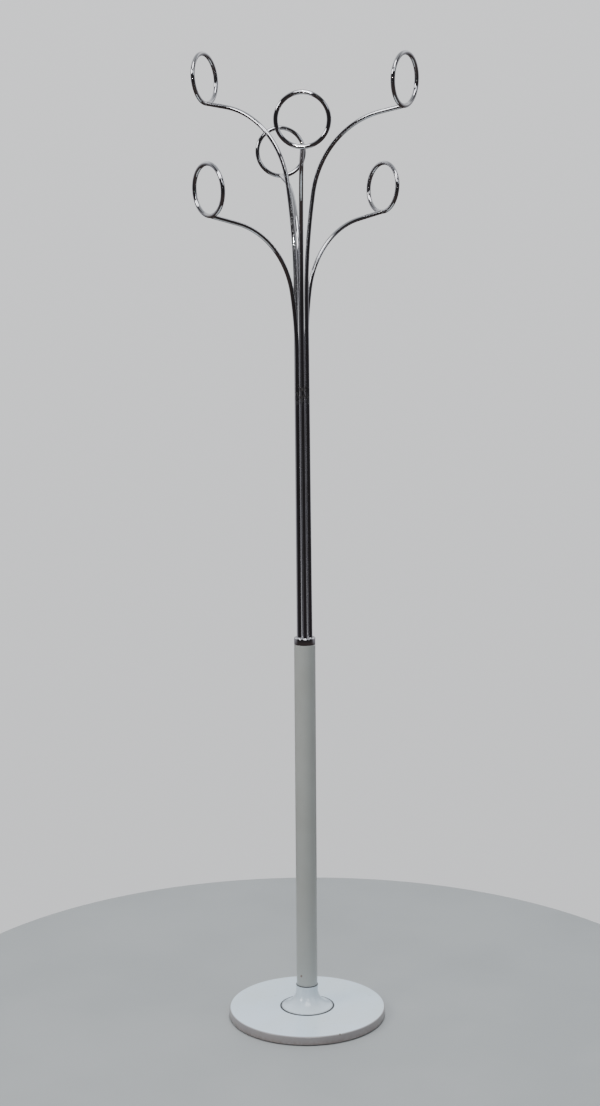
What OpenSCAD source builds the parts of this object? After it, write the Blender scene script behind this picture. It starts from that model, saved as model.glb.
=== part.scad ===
// Standing coat rack: a lacquered disc foot and tube carry six bent chrome rods, each ending in a ring.
// Origin: centre of the foot on the floor. +Z is up. The front of the rack faces -Y.

/* [Foot] */
// Outer diameter of the foot
foot_d = 300; // [240:5:380]
// Height of the foot's top face above the floor
foot_h = 18; // [17:0.5:26]
// Radius of the rounded top edge of the foot
foot_edge_r = 2.5; // [2:0.5:5]
// Sheet thickness of the pressed cover
cover_wall = 1.2; // [0.8:0.1:2]
// Gap between the floor and the lower edge of the cover
cover_gap = 1.8; // [1:0.1:3]
// Thickness of the felt ring that the foot stands on
felt_h = 3; // [2:0.5:5]
// Width of the felt ring
felt_w = 30; // [15:1:50]
// Depth of the dish that the collar sits in
dish_depth = 2.4; // [1.5:0.1:4]

/* [Collar] */
// Diameter of the flared collar at its rim
collar_d = 101; // [85:1:130]
// Width of the open groove around the collar's rim
groove_w = 1; // [0.5:0.1:2]
// Height of the rim above the foot's top face
rim_step = 0.6; // [0.2:0.1:2]
// Radius of the hollow flare
flare_r = 36; // [30:1:40]
// Height of the joint between the collar and the tube
collar_top = 62; // [60:1:80]
// Wall of the collar's lip around the tube
lip_wall = 1.2; // [0.8:0.1:2.5]
// Height of the socket floor that the tube stands on
socket_floor = 34; // [32:1:40]
// Thickness of the web under the socket
web_h = 4; // [3:0.5:8]

/* [Column] */
// Outer diameter of the lacquered tube
tube_d = 40; // [35:0.5:48]
// Wall thickness of the tube
tube_wall = 1.5; // [1:0.1:2.5]
// Height of the tube's upper end
tube_top = 732; // [600:1:900]
// Height of the visible chrome head
head_h = 13; // [8:1:30]
// Radius of the head's rounded top edge
head_edge_r = 2; // [0.5:0.5:4]
// How far the head's spigot reaches down into the tube
spigot_h = 40; // [25:1:80]
// Thickness of the lower spacer disc
spacer_h = 10; // [6:1:20]
// Depth of the spacer's top face below the tube's upper end
spacer_depth = 90; // [70:1:140]

/* [Tie rod] */
// Diameter of the long tie rod
tie_d = 10; // [8:1:12]
// How far the tie rod screws into the head's spigot
tie_grip = 30; // [15:1:38]
// Diameter of the flat washer
washer_d = 21; // [19:1:24]
// Thickness of the flat washer
washer_h = 2; // [1:0.5:3]
// Thickness of the split spring washer
spring_h = 2.2; // [1.5:0.1:3]
// Thickness of the nut
nut_h = 5; // [4:0.5:6]
// Width of the nut across its flats
nut_flats = 16; // [14:1:18]

/* [Rods] */
// Diameter of the chrome rods
rod_d = 8; // [6:0.5:9]
// Diameter of the circle on which the rods stand, at the top of the head
rod_circle_d = 23.4; // [22:0.1:26]
// Angle by which each rod leans towards the axis
rod_lean = 0.1; // [0:0.01:0.2]
// Turn of the six bores about the head's axis, from straight forward
bore_turn = 6; // [-15:0.5:15]
// Angle by which the whole bundle of rods leans to the left
bundle_lean = 0.2; // [0:0.05:0.4]
// How far the rods stand out below the spacer
rod_tail = 4; // [0:1:10]
// Angle that the long gentle bend turns each rod
gentle_turn = 9.6; // [6:0.1:14]
// Radius of the gentle bend, for the low, middle and high pair
gentle_r = [690, 910, 1160]; // [400:10:1400]
// Radius of the tight bend, for the low, middle and high pair
tight_r = [154, 159, 167]; // [100:1:220]
// Slope of the rod's last stretch above the horizontal
end_slope = [13, 12, 10.5]; // [5:0.5:25]
// Length of the rod's last straight stretch
end_run = [59, 72, 45]; // [20:1:100]

/* [Rings] */
// Diameter of the rings, along the middle of the ring rod
ring_d = 90; // [70:1:110]
// Height of the rings' lowest point, for the low, middle and high pair
ring_h = [1526, 1617, 1718]; // [1400:1:1850]
// Angle by which the rings lean outwards
ring_lean = 3.5; // [0:0.5:10]
// Distance between the middle of the ring rod and the end of the arm seated in it
seat_offset = 2.5; // [2:0.1:3]

/* [Hidden] */
$fn = 96;
LOW = 0;
MID = 1;
HIGH = 2;

// Each arm: bore number counted from the front, pair, turn of the rod in its bore,
// rise of its ring above the pair's height, and twist of its ring.
FRONT       = [0, MID,  -5,    17, -0.5];
FRONT_RIGHT = [1, HIGH, -3.5, -10, -3];
BACK_RIGHT  = [2, LOW,   2.5,   3, -4.5];
BACK        = [3, MID,   3.5, -17,  1.5];
BACK_LEFT   = [4, HIGH, -9.5,  11,  8];
FRONT_LEFT  = [5, LOW,   0,    -4,  0];

rod_count = 6;
// Gap on each side of parts that slide together, and of rods in their bores
slip = 0.1;
bore_slip = 0.05;
// How far a cut runs past the faces that it opens
over = 1;
// Lap of neighbouring stretches of a rod, and how much thinner one of them is
lap = 1;
lap_step = 0.02;
foot_r = foot_d / 2;
rod_r = rod_d / 2;
ring_r = ring_d / 2;
tube_r = tube_d / 2;
bore_r = tube_r - tube_wall;
tie_r = tie_d / 2;
tie_clearance = 0.5;
tie_hole_r = tie_r + tie_clearance;

// Foot and collar
collar_r = collar_d / 2;
dish_r = collar_r + groove_w;
dish_floor = foot_h - dish_depth;
weight_fit = 0.4;
weight_r = foot_r - cover_wall - weight_fit;
weight_top = foot_h - cover_wall;
web_bottom = socket_floor - web_h;
boss_r = 14;
pocket_clearance = 1;
pocket_r = washer_d / 2 + pocket_clearance;
pocket_top = 14;
edge_clearance = 1;
felt_inset = 5;
lip_r = tube_r + slip + lip_wall;
rim_h = foot_h + rim_step;
rim_chamfer = 0.6;
flare_reach = lip_r + flare_r;
flare_overrun = max(flare_reach - collar_r, 0);
flare_h = rim_h + sqrt(pow(flare_r, 2) - pow(flare_overrun, 2));

// Head, spacer and tie rod
head_top = tube_top + head_h;
spigot_bottom = tube_top - spigot_h;
spacer_top = tube_top - spacer_depth;
spacer_bottom = spacer_top - spacer_h;
washer_bottom = pocket_top - washer_h;
spring_bottom = washer_bottom - spring_h;
nut_bottom = spring_bottom - nut_h;
nut_corner_r = nut_flats / 2 / cos(30);
spring_bar = 4;
spring_r = tie_r + spring_bar;
spring_cut = 2;
tie_inset = 0.5;
tie_bottom = nut_bottom + tie_inset;
tie_top = spigot_bottom + tie_grip;
tie_room = 2;
thread_depth = tie_grip + tie_room;
rod_bottom = head_top - spacer_bottom + rod_tail;

// ---------- outlines and helpers ----------

// A block from the axis to r, between two heights, with its outer top corner rounded.
module rounded_block(r, bottom, top, edge_r) {
    translate([0, bottom]) square([r - edge_r, top - bottom]);
    translate([0, bottom]) square([r, top - bottom - edge_r]);
    translate([r - edge_r, top - edge_r]) circle(edge_r);
}

// A plain ring or disc between two heights.
module washer_body(outer_r, inner_r, bottom, top) {
    difference() {
        translate([0, 0, bottom]) cylinder(r = outer_r, h = top - bottom);
        translate([0, 0, bottom - over]) cylinder(r = inner_r, h = top - bottom + 2 * over);
    }
}

// Places children where one rod leaves the head, with +Z along the rod and +X in the direction it bends.
module on_rod(arm) {
    translate([0, 0, head_top])
        rotate([0, -bundle_lean, 0])
            rotate([0, 0, arm[0] * 360 / rod_count - 90 + bore_turn])
                translate([rod_circle_d / 2, 0, 0])
                    rotate([0, -rod_lean, 0])
                        rotate([0, 0, arm[2]])
                            children();
}

// Moves children from the start of a bend to its end.
module past_bend(r, turn) {
    translate([r * (1 - cos(turn)), 0, r * sin(turn)]) rotate([0, turn, 0]) children();
}

// A bend of round rod that leaves the origin along +Z and turns towards +X.
// It may begin a little early, so that it laps the stretch before it.
module bend(r, turn, section_r, early) {
    translate([r, 0, 0])
        rotate([90, 0, 0])
            rotate([0, 0, 180 - turn])
                rotate_extrude(angle = turn + early / r * 180 / PI)
                    translate([r, 0]) circle(section_r);
}

// Turn of the tight bend, and height that both bends and the last stretch gain.
function tight_turn(pair) = 90 - end_slope[pair] - gentle_turn;
function rise(pair) =
    gentle_r[pair] * sin(gentle_turn)
    + tight_r[pair] * (sin(90 - end_slope[pair]) - sin(gentle_turn))
    + end_run[pair] * sin(end_slope[pair]);
function straight_run(arm) = ring_h[arm[1]] + arm[3] - rise(arm[1]) - head_top;

// Places children where the middle line of the arm meets the ring, with +Z along the arm.
module at_arm_end(arm) {
    on_rod(arm)
        translate([0, 0, straight_run(arm)])
            past_bend(gentle_r[arm[1]], gentle_turn)
                past_bend(tight_r[arm[1]], tight_turn(arm[1]))
                    translate([0, 0, end_run[arm[1]]])
                        children();
}

// The six slightly leaning bores that hold the rods.
module rod_bores() {
    for (i = [0 : rod_count - 1])
        on_rod([i, LOW, 0, 0, 0])
            translate([0, 0, -rod_bottom - over])
                cylinder(r = rod_r + bore_slip, h = rod_bottom + 2 * over);
}

// ---------- foot ----------

module floor_felt() {
    color("dimgray") washer_body(weight_r - felt_inset, weight_r - felt_inset - felt_w, 0, felt_h);
}

module base_weight() {
    color("#3a3a3c") difference() {
        union() {
            translate([0, 0, felt_h]) cylinder(r = weight_r, h = weight_top - felt_h);
            weight_boss();
        }
        // room for the dish of the cover
        difference() {
            translate([0, 0, dish_floor - cover_wall])
                cylinder(r = dish_r + cover_wall + weight_fit, h = dish_depth + cover_wall);
            weight_boss();
        }
        // the rounded top edge follows the cover
        weight_edge();
        translate([0, 0, felt_h - over]) cylinder(r = tie_hole_r, h = web_bottom);
        translate([0, 0, felt_h - over]) cylinder(r = pocket_r, h = pocket_top - felt_h + over);
    }
}

// The central boss that stands up through the cover into the collar.
module weight_boss() {
    translate([0, 0, felt_h + over]) cylinder(r = boss_r, h = web_bottom - felt_h - over);
}

// Waste around the weight's top edge, cut as a chamfer that clears the cover's rounding.
module weight_edge() {
    rotate_extrude()
        polygon([
            [weight_r - foot_edge_r, weight_top],
            [weight_r - foot_edge_r, weight_top + over],
            [weight_r + over, weight_top + over],
            [weight_r + over, weight_top - foot_edge_r - edge_clearance],
            [weight_r, weight_top - foot_edge_r - edge_clearance]
        ]);
}

module base_cover() {
    color("#f2f4f3") difference() {
        union() {
            rotate_extrude() difference() {
                rounded_block(foot_r, cover_gap, foot_h, foot_edge_r);
                rounded_block(foot_r - cover_wall, cover_gap - over, foot_h - cover_wall,
                    foot_edge_r - cover_wall);
            }
            washer_body(dish_r + cover_wall, boss_r, dish_floor - cover_wall, foot_h - cover_wall / 2);
        }
        translate([0, 0, dish_floor]) cylinder(r = dish_r, h = dish_depth + over);
        cylinder(r = boss_r + 2 * slip, h = foot_h);
    }
}

module foot_collar() {
    color("#eef0ef") rotate_extrude() difference() {
        translate([tie_hole_r, dish_floor]) square([collar_r - tie_hole_r, collar_top - dish_floor]);
        // hollow flare, the flat that a wide collar has beyond it, and straight neck
        translate([flare_reach, flare_h]) circle(flare_r);
        translate([flare_reach, flare_h - flare_r]) square([collar_r, flare_r]);
        translate([lip_r, flare_h]) square([collar_r, collar_top]);
        // eased rim
        polygon([
            [collar_r - rim_chamfer, rim_h + rim_chamfer],
            [collar_r + over, rim_h + rim_chamfer],
            [collar_r + over, rim_h - rim_chamfer],
            [collar_r, rim_h - rim_chamfer]
        ]);
        // socket for the tube and room for the boss
        translate([0, socket_floor]) square([tube_r + slip, collar_top]);
        square([boss_r + slip, web_bottom]);
    }
}

// ---------- column ----------

module column_tube() {
    color("#ecefee") washer_body(tube_r, bore_r, socket_floor, tube_top);
}

module tie_rod() {
    color("#8a8d90") translate([0, 0, tie_bottom]) cylinder(r = tie_r, h = tie_top - tie_bottom);
}

module base_washer() {
    color("#a9adb0") washer_body(washer_d / 2, tie_r + bore_slip, washer_bottom, pocket_top);
}

module spring_washer() {
    color("#6f7376") difference() {
        washer_body(spring_r, tie_r + bore_slip, spring_bottom, washer_bottom);
        translate([0, -spring_cut / 2, spring_bottom - over])
            cube([spring_r + over, spring_cut, spring_h + 2 * over]);
    }
}

module base_nut() {
    color("#8a8d90") difference() {
        translate([0, 0, nut_bottom]) cylinder(r = nut_corner_r, h = nut_h, $fn = 6);
        translate([0, 0, nut_bottom - over]) cylinder(r = tie_r + bore_slip, h = nut_h + 2 * over);
    }
}

module rod_head() {
    color("#c8cbd0") difference() {
        union() {
            rotate_extrude() rounded_block(tube_r, tube_top, head_top, head_edge_r);
            translate([0, 0, spigot_bottom]) cylinder(r = bore_r - slip, h = spigot_h + over);
        }
        translate([0, 0, spigot_bottom - over]) cylinder(r = tie_r + bore_slip, h = thread_depth + over);
        rod_bores();
    }
}

module rod_spacer() {
    color("#9b9ea2") difference() {
        washer_body(bore_r - slip, tie_hole_r, spacer_bottom, spacer_top);
        rod_bores();
    }
}

// ---------- arms and rings ----------

// Neighbouring stretches lap each other, one of them a hair thinner, so that they join as one solid.
module arm_rod(arm) {
    pair = arm[1];
    thin_r = rod_r - lap_step;
    color("#d0d3d8") on_rod(arm) {
        translate([0, 0, -rod_bottom]) cylinder(r = rod_r, h = rod_bottom + straight_run(arm) + lap);
        translate([0, 0, straight_run(arm)]) {
            bend(gentle_r[pair], gentle_turn, thin_r, 0);
            past_bend(gentle_r[pair], gentle_turn) {
                bend(tight_r[pair], tight_turn(pair), rod_r, lap);
                past_bend(tight_r[pair], tight_turn(pair))
                    translate([0, 0, -lap]) cylinder(r = thin_r, h = end_run[pair] - seat_offset + lap);
            }
        }
    }
}

module ring_rod(arm) {
    color("#d6d9de") difference() {
        at_arm_end(arm)
            rotate([0, end_slope[arm[1]] - 90, 0])
                rotate([0, 0, arm[4]])
                    rotate([0, ring_lean, 0])
                        translate([0, 0, ring_r])
                            rotate([0, 90, 0])
                                rotate_extrude() translate([ring_r, 0]) circle(rod_r);
        // flat-bottomed seat for the end of the arm
        at_arm_end(arm)
            translate([0, 0, -seat_offset - rod_d]) cylinder(r = rod_r, h = rod_d);
    }
}

module arm_front() { arm_rod(FRONT); }
module arm_front_right() { arm_rod(FRONT_RIGHT); }
module arm_back_right() { arm_rod(BACK_RIGHT); }
module arm_back() { arm_rod(BACK); }
module arm_back_left() { arm_rod(BACK_LEFT); }
module arm_front_left() { arm_rod(FRONT_LEFT); }
module ring_front() { ring_rod(FRONT); }
module ring_front_right() { ring_rod(FRONT_RIGHT); }
module ring_back_right() { ring_rod(BACK_RIGHT); }
module ring_back() { ring_rod(BACK); }
module ring_back_left() { ring_rod(BACK_LEFT); }
module ring_front_left() { ring_rod(FRONT_LEFT); }

floor_felt();
base_weight();
base_cover();
foot_collar();
column_tube();
tie_rod();
base_washer();
spring_washer();
base_nut();
rod_head();
rod_spacer();
arm_front();
arm_front_right();
arm_back_right();
arm_back();
arm_back_left();
arm_front_left();
ring_front();
ring_front_right();
ring_back_right();
ring_back();
ring_back_left();
ring_front_left();
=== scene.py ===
"""Looks of a standing coat rack: a lacquered foot and tube, and six bent chrome arms with rings.

Sizes are in metres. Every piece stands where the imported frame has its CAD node.
"""

import logging
import math
from dataclasses import dataclass
from enum import Enum
from typing import Any, Callable, Iterable, Sequence

import bpy
from mathutils import Matrix, Vector, noise


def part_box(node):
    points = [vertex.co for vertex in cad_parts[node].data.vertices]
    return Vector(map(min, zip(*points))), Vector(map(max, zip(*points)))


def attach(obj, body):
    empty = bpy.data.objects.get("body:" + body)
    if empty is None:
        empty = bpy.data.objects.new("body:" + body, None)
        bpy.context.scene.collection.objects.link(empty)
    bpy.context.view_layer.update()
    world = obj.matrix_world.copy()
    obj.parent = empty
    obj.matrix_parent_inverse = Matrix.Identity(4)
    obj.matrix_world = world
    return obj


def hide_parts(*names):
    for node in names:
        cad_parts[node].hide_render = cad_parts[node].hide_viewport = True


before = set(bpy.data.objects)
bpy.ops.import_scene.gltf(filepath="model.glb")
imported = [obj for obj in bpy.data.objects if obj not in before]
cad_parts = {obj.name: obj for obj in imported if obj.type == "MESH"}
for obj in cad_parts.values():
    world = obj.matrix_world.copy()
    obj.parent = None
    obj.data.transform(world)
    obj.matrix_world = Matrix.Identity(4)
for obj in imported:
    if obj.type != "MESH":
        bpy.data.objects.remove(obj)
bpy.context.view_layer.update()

MM = 0.001
BODY = "root"
UP = Vector((0.0, 0.0, 1.0))
MERGE_DISTANCE = 1e-6
CREASE_ANGLE = 35.0
BEVEL_ANGLE = 50.0
CUTTER_SIDES = 48
FRAY_GRAIN = 160.0
DENT_GRAIN = 700.0

Colour = tuple[float, float, float]
Point = tuple[float, float]
Piece = bpy.types.Object
Material = bpy.types.Material
log = logging.getLogger("coat_rack")


# ---------------------------------------------------------------- shader maths


class Wire:
    """A number that runs between shader nodes and takes part in plain arithmetic."""

    def __init__(self, graph: "Graph", socket: Any) -> None:
        """Keep the graph and the socket that the number comes from."""
        self.graph = graph
        self.socket = socket

    def _math(self, operation: str, *values: Any) -> "Wire":
        """Add a Math node with this operation on up to three numbers or wires."""
        return self.graph.node("ShaderNodeMath", {"operation": operation}, dict(enumerate(values)))

    def __add__(self, other: Any) -> "Wire":
        """Sum."""
        return self._math("ADD", self, other)

    def __radd__(self, other: Any) -> "Wire":
        """Sum, reflected."""
        return self._math("ADD", other, self)

    def __sub__(self, other: Any) -> "Wire":
        """Difference."""
        return self._math("SUBTRACT", self, other)

    def __rsub__(self, other: Any) -> "Wire":
        """Difference, reflected."""
        return self._math("SUBTRACT", other, self)

    def __mul__(self, other: Any) -> "Wire":
        """Product."""
        return self._math("MULTIPLY", self, other)

    def __rmul__(self, other: Any) -> "Wire":
        """Product, reflected."""
        return self._math("MULTIPLY", other, self)

    def clipped(self) -> "Wire":
        """The same number kept between 0 and 1."""
        return self.graph.node("ShaderNodeClamp", {}, {"Value": self})

    def ramp(self, low: float, high: float) -> "Wire":
        """Rise smoothly from 0 at low to 1 at high, or fall where high is below low.

        Args:
            low: the value that gives 0.
            high: the value that gives 1.

        Returns:
            The smooth step.
        """
        start, end = (low, high) if low < high else (high, low)
        settings = {"interpolation_type": "SMOOTHSTEP"}
        inputs = {"Value": self, "From Min": start, "From Max": end}
        step = self.graph.node("ShaderNodeMapRange", settings, inputs)
        return step if low < high else 1 - step


class Graph:
    """The node tree of one material or of the world."""

    def __init__(self, owner: Any) -> None:
        """Start with an empty tree.

        Args:
            owner: a material or a world.
        """
        owner.use_nodes = True
        self.owner = owner
        self.tree = owner.node_tree
        self.tree.nodes.clear()

    def node(self, kind: str, settings: dict, inputs: dict, output: str | int = 0) -> Wire:
        """Add a node, set it up and link it.

        Args:
            kind: the node's type.
            settings: properties, which are set before anything is linked.
            inputs: values, sockets or wires, by the name or number of the socket.
            output: the socket that is returned.

        Returns:
            The chosen output.
        """
        node = self.tree.nodes.new(kind)
        for key, value in settings.items():
            setattr(node, key, value)
        for key, value in inputs.items():
            self.feed(node.inputs[key], value)
        return Wire(self, node.outputs[output])

    def feed(self, socket: Any, value: Any) -> None:
        """Link a wire, or set a value.

        Args:
            socket: the input.
            value: a wire, a number, a vector or a colour.
        """
        if isinstance(value, Wire):
            self.tree.links.new(value.socket, socket)
        elif socket.type == "RGBA":
            socket.default_value = (*value, 1.0)
        else:
            socket.default_value = value

    def place(self, stretch: Sequence[float] | None = None) -> Wire:
        """The point's own coordinates, in metres.

        Args:
            stretch: factors for the three axes, where a pattern isn't even.

        Returns:
            The coordinates.
        """
        point = self.node("ShaderNodeTexCoord", {}, {}, "Object")
        if stretch is None:
            return point
        return self.node("ShaderNodeMapping", {}, {"Vector": point, "Scale": stretch})

    def noise(self, scale: float, detail: float = 3.0, stretch: Sequence[float] | None = None) -> Wire:
        """Cloudy noise near 0.5, with this many cells per metre and finer layers."""
        inputs = {"Vector": self.place(stretch), "Scale": scale, "Detail": detail}
        return self.node("ShaderNodeTexNoise", {}, inputs, "Fac")

    def cells(self, scale: float) -> Wire:
        """Distance, in cells, to the nearest of points scattered at this many per metre."""
        return self.node("ShaderNodeTexVoronoi", {}, {"Vector": self.place(), "Scale": scale}, "Distance")

    def coordinate(self, axis: str) -> Wire:
        """One coordinate of the point, in metres: X, Y or Z."""
        return self.node("ShaderNodeSeparateXYZ", {}, {"Vector": self.place()}, axis)

    def axis_distance(self) -> Wire:
        """Distance of the point from the column's axis, in metres."""
        flat = self.place((1.0, 1.0, 0.0))
        return self.node("ShaderNodeVectorMath", {"operation": "LENGTH"}, {0: flat}, "Value")

    def distance_to(self, spot: Sequence[float]) -> Wire:
        """Distance of the point from a fixed spot, both in metres."""
        inputs = {0: self.place(), 1: spot}
        return self.node("ShaderNodeVectorMath", {"operation": "DISTANCE"}, inputs, "Value")

    def blend(self, amount: Any, first: Any, second: Any) -> Wire:
        """Mix two colours or wires: an amount of 0 gives the first, 1 the second."""
        inputs = {0: amount, 6: first, 7: second}
        return self.node("ShaderNodeMix", {"data_type": "RGBA"}, inputs, 2)

    def bump(self, height: Wire, strength: float, depth: float, below: Wire | None = None) -> Wire:
        """Raise the surface.

        Args:
            height: a number from 0 to 1.
            strength: how much of the effect shows.
            depth: height of the tallest point, in metres.
            below: another bump to add to.

        Returns:
            The new normal.
        """
        inputs = {"Height": height, "Strength": strength, "Distance": depth}
        if below is not None:
            inputs["Normal"] = below
        return self.node("ShaderNodeBump", {}, inputs)

    def finish(self, **sockets: Any) -> Material:
        """Add the surface shader and close the material.

        Args:
            sockets: the shader's inputs, with underscores for spaces.

        Returns:
            The material.
        """
        inputs = {key.replace("_", " "): value for key, value in sockets.items()}
        shader = self.node("ShaderNodeBsdfPrincipled", {}, inputs)
        self.send("ShaderNodeOutputMaterial", shader)
        return self.owner

    def send(self, kind: str, shader: Wire) -> None:
        """Send a shader to a new output node of this type."""
        output = self.tree.nodes.new(kind)
        self.feed(output.inputs["Surface"], shader)


def new_graph(name: str) -> Graph:
    """Start a material and return its empty node tree."""
    return Graph(bpy.data.materials.new(name))


# ---------------------------------------------------------------- finishes


@dataclass(frozen=True)
class Mark:
    """A small blemish: where it is, how far it reaches, its colour and how plainly it shows."""

    spot: tuple[float, float, float]
    reach: float
    colour: Colour
    share: float = 1.0


class Across(Enum):
    """What a gap shadow's place is measured along."""

    RADIUS = "radius"
    HEIGHT = "height"


@dataclass(frozen=True)
class GapShadow:
    """A painted shadow: a near-black line in the gap where two pieces meet, at a radius or a height."""

    across: Across
    place: float
    reach: float


@dataclass(frozen=True)
class WhiteLacquer:
    """Sprayed white lacquer with years of handling on it."""

    name: str
    colour: Colour
    aged_colour: Colour
    roughness: float = 0.30
    # dark band at a piece's bottom: settled grime and painted shade
    grime_and_shade_level: float = 0.0
    grime_and_shade_height: float = 0.0
    # radius of the foot's outer side, where the colour is darkened as painted shade and also worn
    worn_and_shaded_radius: float = 0.0
    side_shade_and_grime: float = 0.0
    # height below which the colour darkens towards the bottom: painted shade
    painted_shade_height: float = 0.0
    peel: float = 0.10
    # near-black lines in the gaps between pieces: painted shadow
    gap_shadows: tuple[GapShadow, ...] = ()
    marks: tuple[Mark, ...] = ()

    def build(self) -> Material:
        """Make the material.

        Returns:
            Orange-peel lacquer with faint yellowing, a dark band at the bottom that is grime and painted
            shade, painted shade on the foot's side and low on the tube, painted shadow lines in the gaps,
            scuffs and chips.
        """
        graph = new_graph(self.name)
        clouds = graph.noise(9.0, 4.0)
        specks = graph.noise(420.0, 2.0).ramp(0.69, 0.80)
        scuffs = graph.noise(70.0, 6.0, (1.0, 1.0, 0.22)).ramp(0.62, 0.74)
        colour = graph.blend(clouds.ramp(0.38, 0.72), self.colour, self.aged_colour)
        colour = graph.blend(specks * 0.22, colour, (0.36, 0.33, 0.29))
        colour = graph.blend(scuffs * 0.14, colour, (0.46, 0.44, 0.41))
        rough = self.roughness + (clouds - 0.5) * 0.10 + scuffs * 0.12
        bare = specks * 0.1
        # painted shade: the colour darkens towards the bottom of the piece, for the shade low on the tube
        if self.painted_shade_height:
            painted_shade = graph.coordinate("Z").ramp(self.painted_shade_height, 0.10)
            colour = graph.blend(painted_shade * 0.5, colour, (0.30, 0.30, 0.28))
        # darker band towards the bottom of a piece: partly settled grime, partly painted shade low on the
        # foot's side and where the collar and tube meet the piece below
        if self.grime_and_shade_height:
            top = self.grime_and_shade_level + self.grime_and_shade_height
            grime_and_shade = graph.coordinate("Z").ramp(top, self.grime_and_shade_level)
            grime_and_shade = grime_and_shade * graph.noise(150.0, 5.0).ramp(0.26, 0.60)
            colour = graph.blend(grime_and_shade * 0.80, colour, (0.17, 0.14, 0.12))
            rough = rough + grime_and_shade * 0.30
        if self.worn_and_shaded_radius:
            edge = graph.axis_distance().ramp(self.worn_and_shaded_radius - 3 * MM, self.worn_and_shaded_radius - 0.6 * MM)
            # painted shade with some grime: the outer side and rounded edge darkened towards a dark
            # brown-grey
            colour = graph.blend(edge * self.side_shade_and_grime, colour, (0.27, 0.215, 0.20))
            rubbed = edge * graph.noise(60.0, 5.0).ramp(0.45, 0.70)
            colour = graph.blend(rubbed * 0.18, colour, (0.40, 0.37, 0.33))
            bare = edge * graph.noise(105.0, 6.0).ramp(0.71, 0.74)
        for mark in self.marks:
            frayed = graph.distance_to(mark.spot) + (graph.noise(300.0, 4.0) - 0.5) * (mark.reach * 1.6)
            spot = frayed.ramp(mark.reach, mark.reach * 0.5)
            colour = graph.blend(spot * mark.share, colour, mark.colour)
            bare = bare + spot * (mark.share * 0.5)
        bare = bare.clipped()
        colour = graph.blend(bare * 0.85, colour, (0.17, 0.145, 0.12))
        # painted shadow: a near-black line in the gap where two pieces meet
        for gap_shadow in self.gap_shadows:
            along = graph.axis_distance() if gap_shadow.across is Across.RADIUS else graph.coordinate("Z")
            offset = along - gap_shadow.place
            gap_shade = (offset * offset).ramp(gap_shadow.reach ** 2, (gap_shadow.reach * 0.6) ** 2)
            colour = graph.blend(gap_shade * 0.92, colour, (0.035, 0.030, 0.026))
            rough = rough + gap_shade * 0.4
        normal = graph.bump(graph.noise(620.0, 1.0), self.peel, 0.25 * MM)
        normal = graph.bump(1 - bare, 0.6, 0.3 * MM, normal)
        return graph.finish(
            Base_Color=colour,
            Roughness=(rough + bare * 0.3).clipped(),
            Normal=normal,
            Coat_Weight=0.5,
            Coat_Roughness=0.08,
        )


@dataclass(frozen=True)
class PolishedChrome:
    """Old decorative chrome: bright, with fine pits, a thin film and dulled brazed joints."""

    name: str
    colour: Colour = (0.72, 0.725, 0.745)
    film_colour: Colour = (0.60, 0.59, 0.57)
    roughness: float = 0.035
    haze: float = 0.05
    rust_height: float = 0.0
    rust_reach: float = 0.022

    def build(self) -> Material:
        """Make the material.

        Returns:
            Chrome that is dulled and tinted where a piece's joint_heat attribute is high.
        """
        graph = new_graph(self.name)
        heat = graph.node("ShaderNodeAttribute", {"attribute_name": "joint_heat"}, {}, "Fac")
        film = graph.noise(26.0, 4.0)
        pits = graph.cells(330.0).ramp(0.10, 0.05) * graph.noise(40.0, 2.0).ramp(0.54, 0.68)
        tint = heat * graph.noise(210.0, 3.0).ramp(0.25, 0.75)
        colour = graph.blend(film.ramp(0.35, 0.75) * 0.5, self.colour, self.film_colour)
        colour = graph.blend(tint * 0.45, colour, (0.50, 0.41, 0.29))
        colour = graph.blend(pits * 0.4, colour, (0.14, 0.10, 0.07))
        rough = self.roughness + film.ramp(0.45, 0.80) * self.haze + tint * 0.16 + pits * 0.15
        metal = 1 - pits * 0.2
        if self.rust_height:
            offset = graph.coordinate("Z") - self.rust_height
            band = (offset * offset).ramp(self.rust_reach ** 2, 0.0)
            rust = band * graph.noise(150.0, 6.0).ramp(0.46, 0.62)
            colour = graph.blend(rust * 0.7, colour, (0.085, 0.050, 0.030))
            rough = rough + rust * 0.15
            metal = metal - rust * 0.15
        normal = graph.bump(1 - pits, 0.05, 0.04 * MM)
        normal = graph.bump(graph.noise(130.0, 2.0), 0.02, 0.12 * MM, normal)
        return graph.finish(
            Base_Color=colour, Metallic=metal.clipped(), Roughness=rough.clipped(), Normal=normal,
        )


@dataclass(frozen=True)
class CastIron:
    """Sand-cast iron under a thin dark wash."""

    name: str = "cast_iron_wash"

    def build(self) -> Material:
        """Make the material.

        Returns:
            Grainy dark iron with a few rusty patches.
        """
        graph = new_graph(self.name)
        sand = graph.noise(380.0, 5.0)
        patches = graph.noise(14.0, 5.0).ramp(0.50, 0.68)
        colour = graph.blend(sand.ramp(0.35, 0.70), (0.030, 0.030, 0.032), (0.075, 0.073, 0.070))
        colour = graph.blend(patches * 0.55, colour, (0.12, 0.055, 0.028))
        return graph.finish(
            Base_Color=colour,
            Roughness=(0.62 + patches * 0.25).clipped(),
            Metallic=(0.55 - patches * 0.45).clipped(),
            Normal=graph.bump(sand, 0.8, 0.6 * MM),
        )


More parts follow.
